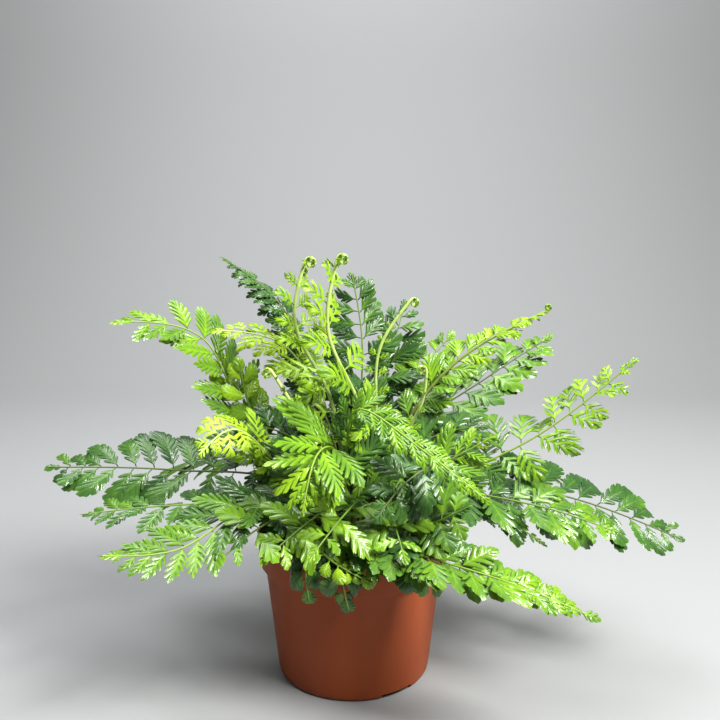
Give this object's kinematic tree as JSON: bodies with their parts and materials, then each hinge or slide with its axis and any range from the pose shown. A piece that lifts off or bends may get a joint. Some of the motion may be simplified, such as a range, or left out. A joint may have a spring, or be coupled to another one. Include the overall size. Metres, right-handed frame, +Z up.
{
  "type": "potted spleenwort fern",
  "caption": "Leafy house plant fern with glossy, finely divided arching fronds and curled young ones, growing in soil in a plain terracotta-coloured plastic nursery pot",
  "frame": {"origin": "The middle of the pot's flat foot, on the surface that the pot stands on.", "axes": "+Z is up. +X runs to the right and along the widest spread of the fronds, and -Y faces the viewer of the picture."},
  "size_m": [0.3852, 0.2413, 0.2624],
  "materials": {
    "terracotta_plastic": "satin, moulded",
    "peat": "rough, crumbly, moist",
    "dark_leaf": "glossy, mature leaf",
    "green_leaf": "glossy leaf",
    "bright_leaf": "glossy young leaf",
    "lime_leaf": "soft glossy new leaf"
  },
  "bodies": {
    "root": {"pot": "terracotta_plastic", "soil": "peat", "frond_left_long": "dark_leaf", "frond_left_low": "green_leaf", "frond_left_front": "bright_leaf", "frond_left_lime": "lime_leaf", "frond_left_high": "bright_leaf", "frond_left_round": "green_leaf", "frond_left_round_back": "green_leaf", "frond_left_under": "green_leaf", "frond_top_left": "dark_leaf", "frond_top_left_inner": "lime_leaf", "frond_top_back": "green_leaf", "frond_top_right_back": "green_leaf", "frond_right_fan": "green_leaf", "frond_crozier_tall": "lime_leaf", "frond_crozier_left": "lime_leaf", "frond_crozier_right": "lime_leaf", "frond_crozier_low": "lime_leaf", "frond_crozier_small": "lime_leaf", "frond_right_high": "bright_leaf", "frond_right_far": "bright_leaf", "frond_right_back": "dark_leaf", "frond_right_low": "dark_leaf", "frond_right_front": "green_leaf", "frond_right_under": "green_leaf", "frond_front_right": "bright_leaf", "frond_right_middle": "bright_leaf", "frond_middle_left": "bright_leaf", "frond_middle_right": "bright_leaf", "frond_middle_dark": "dark_leaf", "frond_middle_low": "green_leaf", "frond_inner_left": "dark_leaf", "frond_inner_middle": "dark_leaf", "frond_inner_right": "dark_leaf", "frond_front_left": "green_leaf", "frond_front_middle": "green_leaf", "frond_front_low": "green_leaf", "frond_rim_left": "green_leaf", "frond_rim_middle": "green_leaf", "frond_rim_right": "green_leaf", "frond_rim_lime": "green_leaf", "frond_back_left": "green_leaf", "frond_back_left_mid": "green_leaf", "frond_back_middle_left": "dark_leaf", "frond_back_middle": "dark_leaf", "frond_back_middle_right": "dark_leaf", "frond_back_right_mid": "green_leaf", "frond_back_right": "green_leaf", "frond_back_low_left": "dark_leaf", "frond_back_low_right": "dark_leaf"}
  },
  "joints": []
}
